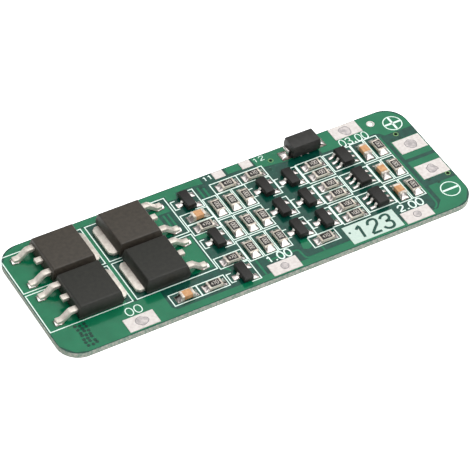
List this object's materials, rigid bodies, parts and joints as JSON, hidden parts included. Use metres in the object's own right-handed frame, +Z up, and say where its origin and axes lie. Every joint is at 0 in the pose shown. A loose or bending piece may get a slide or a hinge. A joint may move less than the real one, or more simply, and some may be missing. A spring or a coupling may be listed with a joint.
{
  "type": "battery management board",
  "caption": "Small green battery protection board with power transistors at one end, chip parts in rows and tinned pads for the pack's wires.",
  "frame": {"origin": "middle of the circuit board's underside", "axes": "+X along the board from the power transistors to the output pads, +Y towards the edge with the diode, +Z up through the parts"},
  "size_m": [0.059, 0.02, 0.003],
  "materials": {
    "solder_mask": "satin",
    "tinned_copper": "satin",
    "solder": "glossy",
    "end_cap_metal": "satin",
    "lead_metal": "satin",
    "white_print": "matte",
    "moulded_black": "matte",
    "resistor_overcoat": "satin",
    "capacitor_ceramic": "matte"
  },
  "bodies": {
    "root": {"circuit_board": "solder_mask", "wire_pads": "tinned_copper", "component_pads": "tinned_copper", "solder_joints": "solder", "chip_end_caps": "end_cap_metal", "printed_frames": "white_print", "mosfet_1_body": "moulded_black", "mosfet_2_body": "moulded_black", "mosfet_3_body": "moulded_black", "mosfet_4_body": "moulded_black", "mosfet_1_leads": "lead_metal", "mosfet_2_leads": "lead_metal", "mosfet_3_leads": "lead_metal", "mosfet_4_leads": "lead_metal", "protection_chip_1_body": "moulded_black", "protection_chip_2_body": "moulded_black", "protection_chip_3_body": "moulded_black", "protection_chip_leads": "lead_metal", "transistor_leads": "lead_metal", "diode_leads": "lead_metal", "driver_transistor_1": "moulded_black", "driver_transistor_2": "moulded_black", "driver_transistor_3": "moulded_black", "level_transistor_1": "moulded_black", "level_transistor_2": "moulded_black", "level_transistor_3": "moulded_black", "level_transistor_4": "moulded_black", "level_transistor_5": "moulded_black", "level_transistor_6": "moulded_black", "diode_body": "moulded_black", "balance_resistor_1": "resistor_overcoat", "balance_resistor_2": "resistor_overcoat", "balance_resistor_3": "resistor_overcoat", "balance_resistor_4": "resistor_overcoat", "balance_resistor_5": "resistor_overcoat", "balance_resistor_6": "resistor_overcoat", "balance_resistor_7": "resistor_overcoat", "balance_resistor_8": "resistor_overcoat", "balance_resistor_9": "resistor_overcoat", "sense_resistor_1": "resistor_overcoat", "sense_resistor_2": "resistor_overcoat", "sense_resistor_3": "resistor_overcoat", "sense_resistor_4": "resistor_overcoat", "sense_resistor_5": "resistor_overcoat", "sense_resistor_6": "resistor_overcoat", "filter_resistor_1": "resistor_overcoat", "filter_resistor_2": "resistor_overcoat", "filter_resistor_3": "resistor_overcoat", "bias_resistor_1": "resistor_overcoat", "bias_resistor_2": "resistor_overcoat", "bias_resistor_3": "resistor_overcoat", "bias_resistor_4": "resistor_overcoat", "bias_resistor_5": "resistor_overcoat", "bias_resistor_6": "resistor_overcoat", "filter_capacitor_1": "capacitor_ceramic", "filter_capacitor_2": "capacitor_ceramic", "filter_capacitor_3": "capacitor_ceramic", "gate_capacitor": "capacitor_ceramic", "supply_capacitor": "capacitor_ceramic"}
  },
  "joints": []
}
